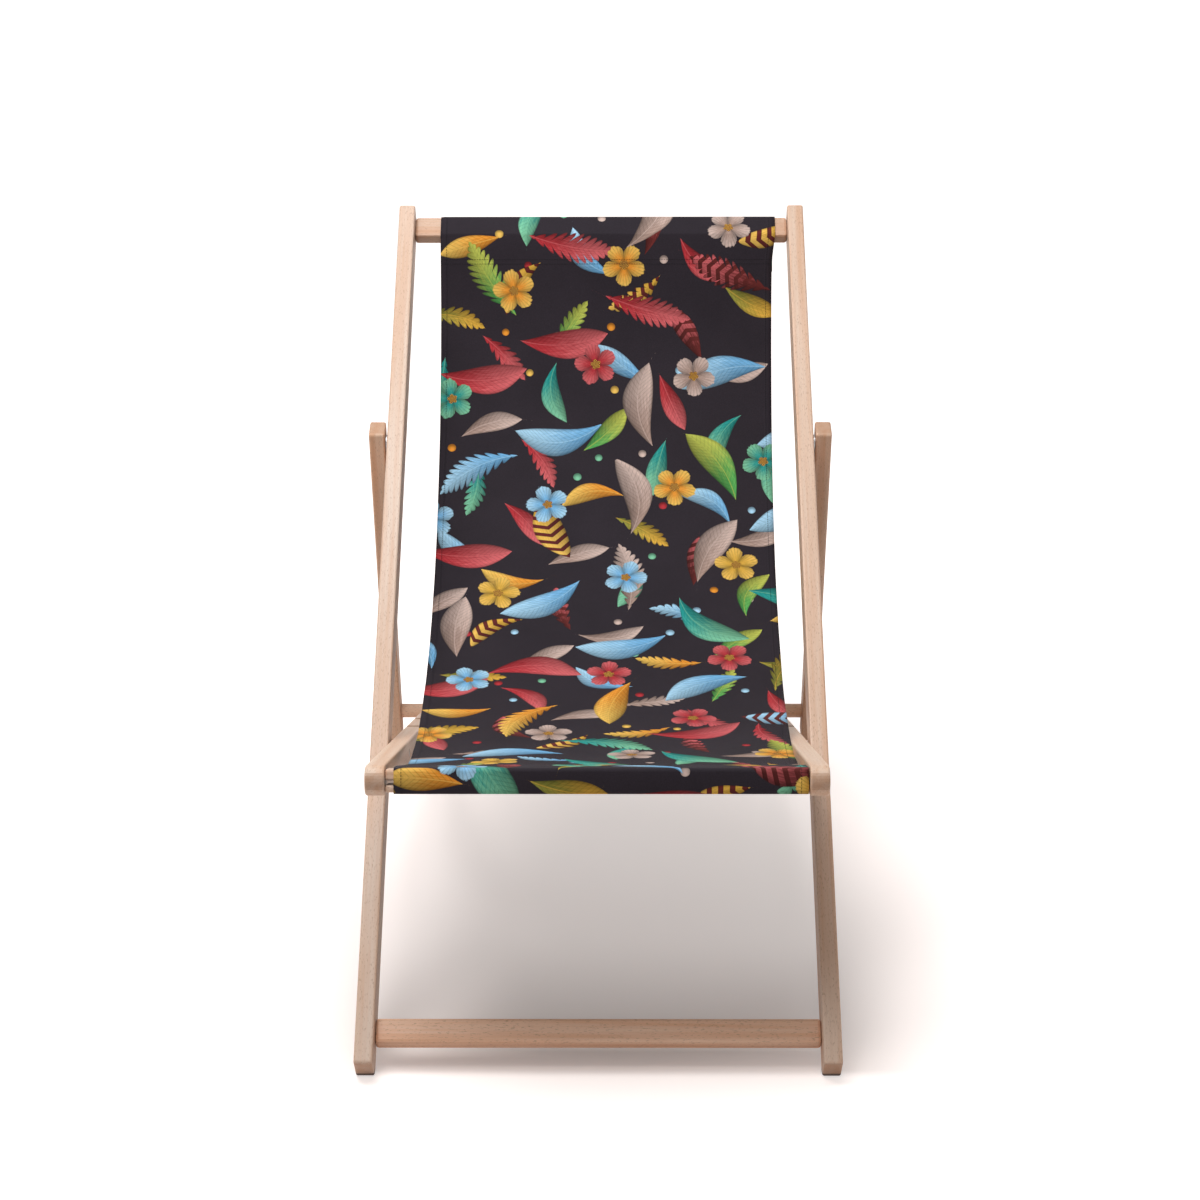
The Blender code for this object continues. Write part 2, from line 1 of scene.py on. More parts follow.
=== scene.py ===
"""Folding wooden deck chair with a printed canvas sling, dressed for a studio photograph.

X runs across the chair, +Y to the back and +Z up, in metres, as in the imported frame.
"""
import math

import bmesh
import bpy
from mathutils import Matrix, Vector, noise
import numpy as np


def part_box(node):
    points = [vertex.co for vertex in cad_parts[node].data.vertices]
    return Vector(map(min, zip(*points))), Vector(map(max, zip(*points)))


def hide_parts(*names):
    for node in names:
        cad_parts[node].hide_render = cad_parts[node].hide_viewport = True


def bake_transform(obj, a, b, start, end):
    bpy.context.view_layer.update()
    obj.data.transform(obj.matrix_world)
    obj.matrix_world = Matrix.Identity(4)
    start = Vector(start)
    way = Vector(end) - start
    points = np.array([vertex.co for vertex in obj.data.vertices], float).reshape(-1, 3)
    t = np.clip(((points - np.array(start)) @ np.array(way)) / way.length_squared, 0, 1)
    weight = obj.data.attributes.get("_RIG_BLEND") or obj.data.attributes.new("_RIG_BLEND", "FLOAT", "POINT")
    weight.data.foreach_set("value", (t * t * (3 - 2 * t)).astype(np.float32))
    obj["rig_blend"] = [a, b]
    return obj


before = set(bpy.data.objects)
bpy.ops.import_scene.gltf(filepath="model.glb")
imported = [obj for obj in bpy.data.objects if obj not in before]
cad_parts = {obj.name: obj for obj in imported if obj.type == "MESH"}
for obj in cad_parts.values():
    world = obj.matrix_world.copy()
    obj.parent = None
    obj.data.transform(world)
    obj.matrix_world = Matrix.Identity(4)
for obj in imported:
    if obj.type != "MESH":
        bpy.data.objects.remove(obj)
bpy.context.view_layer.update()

# Slopes of the three wooden frames in side view
STILE_SLOPE = math.radians(37.487)
RAIL_SLOPE = math.radians(-19.211)
PROP_SLOPE = math.radians(-75.658)

# Sections of the wood, as in the solids: height out of the frame's plane, then width in it
STILE_SECTION = (0.0440, 0.0216)
RAIL_SECTION = (0.0334, 0.0217)
LEG_SECTION = (0.0332, 0.0207)
TOP_BAR_SECTION = (0.0186, 0.0325)
BOTTOM_BAR_SECTION = (0.0200, 0.0300)
UPPER_BATTEN_SECTION = (0.0120, 0.0200)
LOWER_BATTEN_SECTION = (0.0090, 0.0200)
BATTEN_PAIR_SECTION = (0.0253, 0.0200)
STRETCHER_SECTION = (0.0180, 0.0300)
PROP_BAR_SECTION = (0.0195, 0.0195)
TOP_BAR_ROUNDING = 0.0035
BATTEN_ROUNDING = 0.0030

# Boards, each with its frame's slope, its section and its tint, which is partly the board's own tone and
# partly painted light and shade
BOARDS = (("stile_right", STILE_SLOPE, STILE_SECTION, (0.94, 0.985, 1.04)),
          ("stile_left", STILE_SLOPE, STILE_SECTION, (0.99, 0.99, 1.00)),
          ("seat_rail_right", RAIL_SLOPE, RAIL_SECTION, (1.02, 1.04, 1.05)),
          ("seat_rail_left", RAIL_SLOPE, RAIL_SECTION, (1.02, 1.04, 1.05)),
          ("prop_leg_right", PROP_SLOPE, LEG_SECTION, (1.05, 0.98, 0.91)),
          ("prop_leg_left", PROP_SLOPE, LEG_SECTION, (1.00, 0.92, 0.86)))
BOARD_SEED = 5.0
BOARD_SEED_STEP = 3.7

# Bars across the chair, each also with the side that faces the battens' slot, up 1 or down -1, where painted
# shade darkens it
BARS = (("top_bar", STILE_SLOPE, TOP_BAR_SECTION, (0.84, 0.77, 0.72), 0),
        ("bottom_bar", STILE_SLOPE, BOTTOM_BAR_SECTION, (1.16, 1.03, 0.95), 0),
        ("front_batten_upper", RAIL_SLOPE, UPPER_BATTEN_SECTION, (1.00, 1.00, 1.00), -1),
        ("front_batten_lower", RAIL_SLOPE, LOWER_BATTEN_SECTION, (0.95, 0.95, 0.95), 1),
        ("rear_stretcher", RAIL_SLOPE, STRETCHER_SECTION, (0.98, 0.98, 0.98), 0),
        ("prop_bar", PROP_SLOPE, PROP_BAR_SECTION, (1.22, 1.11, 1.02), 0))
BAR_SEED = 11.3
BAR_SEED_STEP = 2.9

# Beech: its colours
BEECH_PALE = (0.725, 0.535, 0.408)
BEECH_WARM = (0.650, 0.393, 0.250)
BEECH_FLECK = (0.37, 0.20, 0.12)
# Painted shade: the dark brown laid on the feet's lowest millimetres and on the face in the battens' slot
PAINTED_SHADE_BROWN = (0.060, 0.028, 0.016)

# Beech: repeats per metre of each pattern, along the fibres and across them
DRIFT_REPEATS = (2.1, 3)
FIBRE_REPEATS = (22, 620)
STREAK_REPEATS = (3.2, 95)
FLECK_REPEATS = (215, 950)
PATCH_REPEATS = (5, 9)

# Beech: the growth rings' heart and bend, across and out, and their radians per metre and waver
RING_HEART = (-0.031, 0.047)
RING_BEND = (0.013, -0.021)
RING_RADIANS = 1750
RING_WAVER = 9

# Beech: metres from an edge, a slot face or the floor where wear, or the painted shade on slot faces and
# feet, starts and is full
ARRIS_WEAR = (0.0042, 0.0006)
SLOT_PAINTED_SHADE = (0.0016, 0.0004)
FOOT_PAINTED_SHADE = (0.0072, 0.0046)
END_GRAIN_FACING = (0.72, 0.95)

# Beech: the range in which each pattern shows, and how much of the colour it takes over
STREAK_RANGE = (0.30, 0.74)
RING_RANGE = (0.35, 1.0)
FLECK_RANGE = (0.60, 0.70)
RING_SHARE = 0.20
FLECK_SHARE = 0.50
END_GRAIN_SHARE = 0.55
SLOT_PAINTED_SHADE_SHARE = 0.9

# Beech: its plain lightness, roughness and specular level, and its bump's strength and depth
BEECH_LEVEL = 0.90
BEECH_ROUGHNESS = 0.43
BEECH_SPECULAR = 0.62
BEECH_BUMP = (0.32, 0.0005)

# Zinc plating: its colours, repeats per metre of its turned grain and dull patches, and finish
ZINC_DARK = (0.50, 0.51, 0.53)
ZINC_BRIGHT = (0.70, 0.70, 0.69)
TURNED_REPEATS = (2600, 240)
DULL_REPEATS = 190
ZINC_ROUGHNESS = 0.24
ZINC_BUMP = (0.2, 0.0002)

# Sling: the cut sheet, how it hangs and how it is sewn
TOP_WIDTH = 0.4565
FRONT_WIDTH = 0.4515
TOP_OFFSET = 0.0075
FRONT_OFFSET = 0.0040
CLOTH_THICK = 0.0013
LAYER_SPACING = CLOTH_THICK * 1.15
POCKET_EASE = 0.0011
TOP_SEAM_BELOW = 0.036
FRONT_SEAM_BEHIND = 0.043
TOP_HANG_ANGLE = math.radians(79.0)
FRONT_HANG_ANGLE = math.radians(28.8)
TOP_HANG_REACH = 0.373
FRONT_HANG_REACH = 0.470
SEAM_ALLOWANCE = 0.014
HEM_WIDTH = 0.010
HEM_ROW_SHARE = 0.8
HEM_EDGE = 0.0012
SEAM_ROW_OFFSET = 0.003
STITCH_LENGTH = 0.0034
STITCH_SHARE = 0.72
STITCH_EDGE = (0.00075, 0.00035)

# Sling: how far the pocket's left edge stands out, over what length, and its start and rate
POCKET_FLARE = 0.0042
FLARE_FADE = 0.008
FLARE_START = 0.4
FLARE_RATE = 10

# Sling: its soft folds and slack edges, and where the sheet is free to have them
FOLD_HEIGHT = 0.0030
FOLD_REPEATS = (7, 5)
FOLD_SEED = 3.1
SLACK_HEIGHT = 0.0034
SLACK_REPEATS = (3, 21)
SLACK_SEED = 7.7
SLACK_START = 0.80
FREE_START = 0.10
FREE_END = 0.90
FREE_RATE = 12

# Sling: the mesh's steps, the metres that its flat map spans, and a distance that counts as none
HANG_STEPS = 72
WIDTH_STEPS = 72
CORNER_STEPS = 5
CUT_SPAN = 2.0
SAME_PLACE = 0.000001

# Places between which the sling turns from following the stiles to following the rails
BLEND_START = (0, 0.452, 0.745)
BLEND_END = (0, -0.215, 0.078)

# Canvas: its threads' colours, its weave's pitch, and repeats per metre of its patterns
CANVAS_BLACK = (0.0185, 0.0138, 0.0185)
CANVAS_GREY = (0.031, 0.024, 0.032)
STITCH_BLACK = (0.008, 0.007, 0.009)
WEAVE_PITCH = 0.0013
THREAD_REPEATS = 900
MOTTLE_REPEATS = 14
PUCKER_REPEATS = (60, 150)

# Canvas: how dark its stitches are, its roughness, specular level, sheen and bump
STITCH_SHADE = 0.6
CANVAS_ROUGHNESS = 0.58
CANVAS_SPECULAR = 0.10
CANVAS_SHEEN = 0.05
CANVAS_SHEEN_ROUGHNESS = 0.45
CANVAS_BUMP = (0.55, 0.0006)

# Print: its inks
OCHRE = (0.74, 0.43, 0.06)
MAROON = (0.13, 0.022, 0.02)
RED = (0.48, 0.035, 0.045)
ROSE = (0.68, 0.14, 0.15)
ORANGE = (0.86, 0.32, 0.035)
AMBER = (0.90, 0.56, 0.12)
SKY = (0.18, 0.47, 0.78)
ICE = (0.42, 0.70, 0.90)
LEAF_GREEN = (0.10, 0.42, 0.10)
MINT = (0.22, 0.58, 0.36)
TEAL = (0.02, 0.33, 0.30)
TAUPE = (0.42, 0.29, 0.24)
BLUSH = (0.66, 0.50, 0.44)
OLIVE = (0.30, 0.29, 0.05)
LIME = (0.52, 0.56, 0.10)

# Print: the dark and the pale ink of each leaf and flower, the leaves that are banded, the berries
LEAF_INKS = ((RED, ROSE), (TEAL, MINT), (OCHRE, AMBER), (ORANGE, AMBER), (SKY, ICE),
             (MAROON, ROSE), (LEAF_GREEN, LIME), (TAUPE, BLUSH), (OLIVE, OCHRE))
BANDED_LEAVES = (2, 5)
FLOWER_INKS = ((RED, ROSE), (ORANGE, AMBER), (SKY, ICE), (TAUPE, BLUSH), (OCHRE, AMBER),
               (TEAL, MINT))
BERRY_INKS = (RED, AMBER, ICE, MINT, ORANGE, BLUSH)

# Print: each grid's cell, its turn in degrees, its seed, and how far motifs stray in a cell
LARGE_GRID = {"pitch": 0.121, "turn": 23, "seed": 3.3, "stray": 0.03}
MEDIUM_GRID = {"pitch": 0.088, "turn": -38, "seed": 8.2, "stray": 0.05}
FLOWER_GRID = {"pitch": 0.158, "turn": 11, "seed": 5.6, "stray": 0.30}
BERRY_GRID = {"pitch": 0.052, "turn": 50, "seed": 1.9, "stray": 0.45}
DOWN_SEED_SHARE = 1.7
ROW_STAGGER = 0.5

# Print: the motifs' sizes, and the slant and pitch of a leaf's lobes, bands and veins
LARGE_LEAF = {"half_length": 0.060, "half_width": 0.0205, "curl": 13.0, "lobed_share": 0.22}
MEDIUM_LEAF = {"half_length": 0.043, "half_width": 0.0138, "curl": 19.0, "lobed_share": 0.30}
LEAF_LOBES = (0.9, 0.021)
LEAF_BANDS = (-0.5, 0.0135)
LEAF_VEINS = (1.1, 0.0068)
LEAF_RIB = (0.0009, 0.0003)
LEAF_STROKE_REPEATS = (75, 700)
TIP_FULLNESS = 0.38
LOBE_DEPTH = 0.75
LEAF_SOFT_EDGE = 0.10
LEAST_OUTLINE = 0.00001

# Print: the flowers' reach, petals, veins and seeds, and the berries' reach and share of cells
FLOWER_REACH = 0.031
FLOWER_STROKE_REPEATS = (260, 9)
FLOWER_EYE = (0.27, 0.20)
PETALS = 5
PETAL_VEINS = 35
SEED_RINGS = 2100
SEED_SPOKES = 11
BERRY_REACH = 0.0092
BERRY_SHARE = 0.24
BERRY_SHINE = (1.4, 0.1)

# Floor: its size, its paper, and the colour of its own glow
FLOOR_SIZE = 30
PAPER_WHITE = (0.89, 0.80, 0.765)
GLOW_WHITE = (1.0, 0.955, 0.935)
TOOTH_REPEATS = 45
PAPER_ROUGHNESS = 0.9
PAPER_SPECULAR = 0.1

# Floor: its glow under the chair, the painted light that raises it to the rear, and where it is all white
FLOOR_LIFT = 0.37
REAR_PAINTED_LIGHT = 0.13
REAR_RISE = (-0.30, 0.25)
SHADOW_MIDDLE = -0.12
SHADOW_FADE = (0.28, 0.85)

# Floor: a painted shadow behind the bottom bar, and painted light on the floor in front of it
BAR_PAINTED_SHADOW = 0.24
BAR_PAINTED_SHADOW_START = -0.15
BAR_PAINTED_SHADOW_SIDES = (0.38, 0.26)
BAR_SHADOW_BACK = -0.492
BAR_SHADOW_FRONT = -0.514
FRONT_PAINTED_LIGHT = 0.15

# Lamps, and the strength of the white surround on the chair
OVERHEAD_LAMP = {"place": (-0.48, -0.40, 2.40), "aim": (0.0, -0.05, 0.35), "size": 1.5,
                 "power": 45.0}
FRONT_FILL = {"place": (-1.4, -3.2, 1.9), "aim": (0.0, 0.0, 0.5), "size": 1.6, "power": 3.5}
SURROUND_FILL = 0.225

# Camera, as fitted to the photograph's edges
CAMERA_PLACE = (0.0203, -3.20896, 1.6103)
CAMERA_PAN = math.radians(0.36)
CAMERA_TILT = math.radians(69.18)
CAMERA_ROLL = math.radians(-0.14)
CAMERA_LENS = 81.12
SENSOR_WIDTH = 36.0

# The Mix node's sockets for two colours and their mixture
MIX_FIRST_COLOUR = 6
MIX_SECOND_COLOUR = 7
MIX_COLOUR = 2


class Signal:
    """An output in a shader, so that shader maths reads as plain sums."""

    def __init__(self, recipe, socket):
        self.recipe = recipe
        self.socket = socket

    def output(self, name):
        """Another output of the same node."""
        return Signal(self.recipe, self.socket.node.outputs[name])

    def maths(self, operation, *values):
        """A Math node on these values."""
        return self.recipe.node("Math", {"operation": operation}, dict(enumerate(values)))

    def __add__(self, other):
        return self.maths("ADD", self, other)

    def __radd__(self, other):
        return self.maths("ADD", other, self)

    def __sub__(self, other):
        return self.maths("SUBTRACT", self, other)

    def __rsub__(self, other):
        return self.maths("SUBTRACT", other, self)

    def __mul__(self, other):
        return self.maths("MULTIPLY", self, other)

    def __rmul__(self, other):
        return self.maths("MULTIPLY", other, self)

    def __truediv__(self, other):
        return self.maths("DIVIDE", self, other)

    def __abs__(self):
        return self.maths("ABSOLUTE", self)

    def floor(self):
        """The whole number below."""
        return self.maths("FLOOR", self)

    def fraction(self):
        """What is left above the whole number below."""
        return self.maths("FRACT", self)

    def sine(self):
        """Sine of an angle in radians."""
        return self.maths("SINE", self)

    def cosine(self):
        """Cosine of an angle in radians."""
        return self.maths("COSINE", self)

    def root(self):
        """Square root."""
        return self.maths("SQRT", self)

    def angle_from(self, x):
        """Angle in radians of the place with this x, where the value itself is its y."""
        return self.maths("ARCTAN2", self, x)

    def below(self, limit):
        """1 below the limit, and 0 elsewhere."""
        return self.maths("LESS_THAN", self, limit)

    def most(self, other):
        """The larger of two values."""
        return self.maths("MAXIMUM", self, other)

    def ramp(self, start, end):
        """Smooth rise from 0 at start to 1 at end; start may be the larger."""
        low, high = sorted((start, end))
        rise = self.recipe.node("MapRange", {"interpolation_type": "SMOOTHSTEP"},
                                {"Value": self, "From Min": low, "From Max": high})
        return rise if start < end else 1 - rise


class Recipe:
    """The shader nodes of one material, or of the world."""

    def __init__(self, tree):
        self.tree = tree

    def node(self, kind, settings, sockets, output=0):
        """Add a node; its settings come first, then the values or links of its sockets."""
        made = self.tree.nodes.new("ShaderNode" + kind)
        for name, value in settings.items():
            if name == "stops":
                fill_ramp(made.color_ramp, value)
            else:
                setattr(made, name, value)
        for key, value in sockets.items():
            self.feed(made.inputs[key], value)
        return Signal(self, made.outputs[output])

    def feed(self, socket, value):
        """Give a socket a link, a number, a vector or a colour."""
        if isinstance(value, Signal):
            self.tree.links.new(value.socket, socket)
        elif hasattr(value, "__len__") and len(socket.default_value) == 4:
            socket.default_value = (*value, 1)
        else:
            socket.default_value = value

    def split(self, vector):
        """The three numbers of a vector."""
        parts = self.node("SeparateXYZ", {}, {0: vector})
        return [parts.output(axis) for axis in "XYZ"]

    def vector(self, x, y, z):
        """A vector from three numbers."""
        return self.node("CombineXYZ", {}, {0: x, 1: y, 2: z})

    def blend(self, share, first, second):
        """Mix two colours; a share of 1 gives the second."""
        sockets = {0: share, MIX_FIRST_COLOUR: first, MIX_SECOND_COLOUR: second}
        return self.node("Mix", {"data_type": "RGBA"}, sockets, MIX_COLOUR)

    def shade(self, colour, amount):
        """Scale a colour by a number."""
        settings = {"operation": "SCALE"}
        return self.node("VectorMath", settings, {0: colour, "Scale": amount})

    def grain(self, x, y, z, detail=2.0):
        """Noise at a place that is already scaled."""
        place = self.vector(x, y, z)
        return self.node("TexNoise", {}, {"Vector": place, "Scale": 1.0, "Detail": detail})

    def object_place(self):
        """The place on the piece, in metres from the scene's origin."""
        return self.node("TexCoord", {}, {}, "Object")

    def seen_rays(self):
        """1 for rays from the camera, a mirror or glass, and 0 for rays that light things."""
        seen = rays = self.node("LightPath", {}, {}, "Is Camera Ray")
        for name in ("Is Glossy Ray", "Is Transmission Ray"):
            seen = seen.most(rays.output(name))
        return seen


def fill_ramp(ramp, stops):
    """Put these (place, colour) stops on a colour ramp, each flat up to the next."""
    ramp.interpolation = "CONSTANT"
    while len(ramp.elements) < len(stops):
        ramp.elements.new(1.0)
    for element, (place, colour) in zip(ramp.elements, stops):
        element.position = place
        element.color = (*colour, 1)


def distance(x, y):
    """Distance of a place from the origin of its two numbers."""
    return (x * x + y * y).root()


def new_material(name):
    """A material with a Principled shader, and its recipe."""
    material = bpy.data.materials.new(name)
    material.use_nodes = True
    return material, Recipe(material.node_tree), material.node_tree.nodes["Principled BSDF"]


def raise_relief(recipe, shader, relief, strength, depth):
    """Bump a surface by a relief; its depth is in metres."""
    bump = recipe.node("Bump", {}, {"Strength": strength, "Distance": depth, "Height": relief})
    recipe.feed(shader.inputs["Normal"], bump)


def finished_piece(name, work):
    """An object in the scene, from a bmesh that is then freed."""
    mesh = bpy.data.meshes.new(name)
    work.to_mesh(mesh)
    work.free()
    piece = bpy.data.objects.new(name, mesh)
    bpy.context.scene.collection.objects.link(piece)
    return piece


def dress(piece, material):
    """Put one material on every slot of a piece."""
    if not piece.material_slots:
        piece.data.materials.append(material)
    for slot in piece.material_slots:
        slot.material = material


def middle(*nodes):
    """Middle of the box round some CAD nodes."""
    boxes = [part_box(node) for node in nodes]
    low = [min(box[0][axis] for box in boxes) for axis in range(3)]
    high = [max(box[1][axis] for box in boxes) for axis in range(3)]
    return (Vector(low) + Vector(high)) / 2


def tinted_with_painted_light(colour, tint_with_painted_light):
    """A wood colour as one board shows it, with the painted light and shade in its tint."""
    return tuple(part * share for part, share in zip(colour, tint_with_painted_light))


def beech(name, slope, section, tint_with_painted_light, runs_across, seed, slot_side=0):
    """Pale steamed beech: growth rings, fibres, short flecks, worn arrises and end grain, with painted shade
    on the feet and on a slot face.
    """
    material, recipe, shader = new_material(name + "_beech")
    place = recipe.object_place()
    local = recipe.node("Mapping", {"vector_type": "TEXTURE"},
                        {"Vector": place, "Location": middle(name), "Rotation": (slope, 0, 0)})
    x, y, z = recipe.split(local)
    along, across, out = (x, y, z) if runs_across else (y, x, z)

    def drawn_out(repeats, shifts, detail=2.0):
        """Noise that is drawn out along the fibres, moved by three shifts."""
        lengthwise, crosswise = repeats
        return recipe.grain(along * lengthwise + shifts[0], across * crosswise + shifts[1],
                            out * crosswise + shifts[2], detail)

    drift = drawn_out(DRIFT_REPEATS, (seed, seed, 0)) - 0.5
    heart_across, heart_out = RING_HEART
    bend_across, bend_out = RING_BEND
    ring_radius = distance(across - heart_across + drift * bend_across,
                           out - heart_out + drift * bend_out)
    rings = (ring_radius * RING_RADIANS + drift * RING_WAVER).sine()
    fibres = drawn_out(FIBRE_REPEATS, (seed, 0, 0))
    streaks = drawn_out(STREAK_REPEATS, (seed, seed, 0), 3.0)
    fleck_field = drawn_out(FLECK_REPEATS, (seed, 0, 0), 1.0)
    flecks = fleck_field.ramp(*FLECK_RANGE)
    patches = drawn_out(PATCH_REPEATS, (seed, 0, seed))

    # Painted light and shade: the tint warms and brightens pieces that stand in shade, pales the lit stiles
    # and darkens the top bar
    pale = tinted_with_painted_light(BEECH_PALE, tint_with_painted_light)
    warm = tinted_with_painted_light(BEECH_WARM, tint_with_painted_light)
    colour = recipe.blend(streaks.ramp(*STREAK_RANGE), pale, warm)
    colour = recipe.blend(rings.ramp(*RING_RANGE) * RING_SHARE, colour, warm)
    colour = recipe.blend(flecks * FLECK_SHARE, colour, BEECH_FLECK)

    normal = recipe.node("TexCoord", {}, {}, "Normal")
    axis = (1, 0, 0) if runs_across else (0, math.cos(slope), math.sin(slope))
    facing = recipe.node("VectorMath", {"operation": "DOT_PRODUCT"}, {0: normal, 1: axis},
                         "Value")
    cut_end = abs(facing).ramp(*END_GRAIN_FACING)
    colour = recipe.blend(cut_end * END_GRAIN_SHARE, colour, BEECH_FLECK)
    height_up = recipe.split(place)[2]
    # Painted shade: the lowest millimetres of a foot turn dark brown for its shaded underside and contact
    # shadow
    colour = recipe.blend(height_up.ramp(*FOOT_PAINTED_SHADE), colour, PAINTED_SHADE_BROWN)

    half_height, half_width = (size / 2 for size in section)
    # Painted shade: the face that meets the battens' slot turns dark brown, as if no light reached into it
    if slot_side:
        painted_slot_shade = (out * slot_side).ramp(*(half_height - inset for inset in SLOT_PAINTED_SHADE))
        colour = recipe.blend(painted_slot_shade * SLOT_PAINTED_SHADE_SHARE, colour, PAINTED_SHADE_BROWN)
    arris = (abs(out).ramp(*(half_height - inset for inset in ARRIS_WEAR))
             * abs(across).ramp(*(half_width - inset for inset in ARRIS_WEAR)))
    level = BEECH_LEVEL + patches * 0.13 + fibres * 0.06 + arris * 0.07
    recipe.feed(shader.inputs["Base Color"], recipe.shade(colour, level))
    roughness = BEECH_ROUGHNESS + fibres * 0.16 + cut_end * 0.20 - arris * 0.06
    recipe.feed(shader.inputs["Roughness"], roughness)
    relief = fibres * 0.6 + rings * 0.12 - flecks * 0.5 + cut_end * fleck_field
    raise_relief(recipe, shader, relief, *BEECH_BUMP)
    shader.inputs["Specular IOR Level"].default_value = BEECH_SPECULAR
    return material


def zinc(name):
    """Bright zinc plating with a faint turned grain and dull patches."""
    material, recipe, shader = new_material(name)
    x, y, z = recipe.split(recipe.object_place())
    fine, coarse = TURNED_REPEATS
    turned = recipe.grain(x * fine, y * coarse, z * coarse)
    patches = recipe.grain(x * DULL_REPEATS, y * DULL_REPEATS, z * DULL_REPEATS)
    recipe.feed(shader.inputs["Base Color"], recipe.blend(patches, ZINC_DARK, ZINC_BRIGHT))
    recipe.feed(shader.inputs["Roughness"], ZINC_ROUGHNESS + turned * 0.18 + patches * 0.12)
    shader.inputs["Metallic"].default_value = 1.0
    raise_relief(recipe, shader, turned, *ZINC_BUMP)
    return material


def choose(recipe, dice, colours):
    """One of several colours, from an even random number."""
    stops = [(index / len(colours), colour) for index, colour in enumerate(colours)]
    return recipe.node("ValToRGB", {"stops": stops}, {"Fac": dice})


def choose_pair(recipe, dice, inks):
    """The dark and the pale colour of one of several pairs of inks."""
    return [choose(recipe, dice, colours) for colours in zip(*inks)]


def chosen(dice, count, index):
    """1 where choose takes the colour of this index out of count, and 0 elsewhere."""
    place = dice * count
    return place.ramp(index - 0.01, index) * (1 - place.ramp(index + 0.98, index + 0.99))


class Scatter:
    """A turned, staggered grid on the cloth: each cell's own place and random numbers."""

    def __init__(self, recipe, u, v, pitch, turn, seed, stray):
        self.recipe = recipe
        cosine = math.cos(math.radians(turn))
        sine = math.sin(math.radians(turn))
        across = (u * cosine - v * sine) / pitch + seed
        down = (u * sine + v * cosine) / pitch + seed * DOWN_SEED_SHARE
        row = down.floor()
        across = across + row * ROW_STAGGER
        cell = recipe.vector(across.floor(), row, seed)
        self.choice = recipe.node("TexWhiteNoise", {}, {"Vector": cell}, "Value")
        self.dice = recipe.split(self.choice.output("Color"))
        self.x = (across.fraction() - 0.5 + (self.dice[1] - 0.5) * stray) * pitch
        self.y = (down.fraction() - 0.5 + (self.dice[2] - 0.5) * stray) * pitch

    def turned(self):
        """The cell's place, turned by a random angle."""
        angle = self.dice[0] * math.tau
        cosine = angle.cosine()
        sine = angle.sine()
        return self.x * cosine + self.y * sine, self.y * cosine - self.x * sine


def leaf(scatter, half_length, half_width, curl, lobed_share):
    """A curved leaf with a midrib, some of them lobed and some banded: mask and colour."""
    recipe = scatter.recipe
    along, side = scatter.turned()
    bend = (scatter.dice[1] - 0.5) * curl
    side = side + bend * (along * along - half_length * half_length / 3)
    off_rib = abs(side)

    def slanted(slant, pitch):
        """Waves that run out from the midrib on both sides."""
        return ((along - off_rib * slant) * (math.tau / pitch)).sine()

    share = along / half_length
    lobes = abs(slanted(*LEAF_LOBES))
    lobed = scatter.dice[2].below(lobed_share)
    outline = (1 - share * share).most(0.0) * (1 + share * TIP_FULLNESS) * half_width
    outline = outline * (1 - lobed * (1 - lobes.root()) * LOBE_DEPTH) + LEAST_OUTLINE
    inside = 1 - off_rib / outline
    mask = inside.ramp(0.0, LEAF_SOFT_EDGE)

    lengthwise, crosswise = LEAF_STROKE_REPEATS
    strokes = recipe.grain(along * lengthwise + scatter.choice * 9, side * crosswise,
                           scatter.choice * 31)
    dark, pale = choose_pair(recipe, scatter.choice, LEAF_INKS)
    fade = (share * 0.55 + 0.5 + (strokes - 0.5) * 0.7).ramp(0.15, 0.9)
    colour = recipe.blend(fade, dark, pale)
    banded = 0
    for index in BANDED_LEAVES:
        banded = chosen(scatter.choice, len(LEAF_INKS), index) + banded
    colour = recipe.blend(banded * slanted(*LEAF_BANDS).ramp(-0.05, 0.25), colour, MAROON)

    rounding = (side / outline * 0.5 + 0.5).ramp(-0.2, 1.1) * 0.75 + 0.42
    veins = slanted(*LEAF_VEINS).ramp(0.55, 1.0) * 0.20
    level = rounding * (0.80 + strokes * 0.42) * (1 - veins * (1 - banded))
    colour = recipe.shade(colour, level * (0.55 + inside.ramp(0.0, 0.35) * 0.45))
    rib = off_rib.ramp(*LEAF_RIB) * (1 - banded)
    return mask, recipe.blend(rib * 0.55, colour, pale)


def blossom(scatter, reach):
    """A five-petalled flower with a pale edge and a yellow eye: mask and colour."""
    recipe = scatter.recipe
    x, y = scatter.turned()
    radius = distance(x, y)
    angle = y.angle_from(x)
    petals = abs((angle * (PETALS / 2)).cosine())
    outward, around = FLOWER_STROKE_REPEATS
    strokes = recipe.grain(radius * outward, angle * around, scatter.choice * 17)
    outline = (petals.root() * 0.50 + 0.46 + (strokes - 0.5) * 0.20) * reach
    share = radius / outline
    mask = share.ramp(1.0, 0.94)
    veins = (angle * PETAL_VEINS).sine().ramp(0.2, 1.0) * share * 0.30
    deep, pale = choose_pair(recipe, scatter.dice[1], FLOWER_INKS)
    colour = recipe.blend((share + (strokes - 0.5) * 0.6).ramp(0.2, 1.0), deep, pale)
    colour = recipe.shade(colour, (0.30 + petals * 0.62 + strokes * 0.22) * (1 - veins))
    seeds = (radius * SEED_RINGS).sine() * (angle * SEED_SPOKES).sine()
    eye_colour = recipe.blend(seeds.ramp(-0.2, 0.4), MAROON, OCHRE)
    return mask, recipe.blend(share.ramp(*FLOWER_EYE), colour, eye_colour)


def berry(scatter, reach):
    """A round berry with a soft highlight: mask and colour."""
    recipe = scatter.recipe
    size = (0.55 + scatter.dice[0] * 0.45) * reach
    mask = (distance(scatter.x, scatter.y) / size).ramp(1.0, 0.90)
    mask = mask * scatter.choice.below(BERRY_SHARE)
    colour = choose(recipe, scatter.dice[2], BERRY_INKS)
    from_shine = distance(scatter.x + size * 0.3, scatter.y - size * 0.3) / size
    return mask, recipe.shade(colour, 0.30 + from_shine.ramp(*BERRY_SHINE) * 0.85)


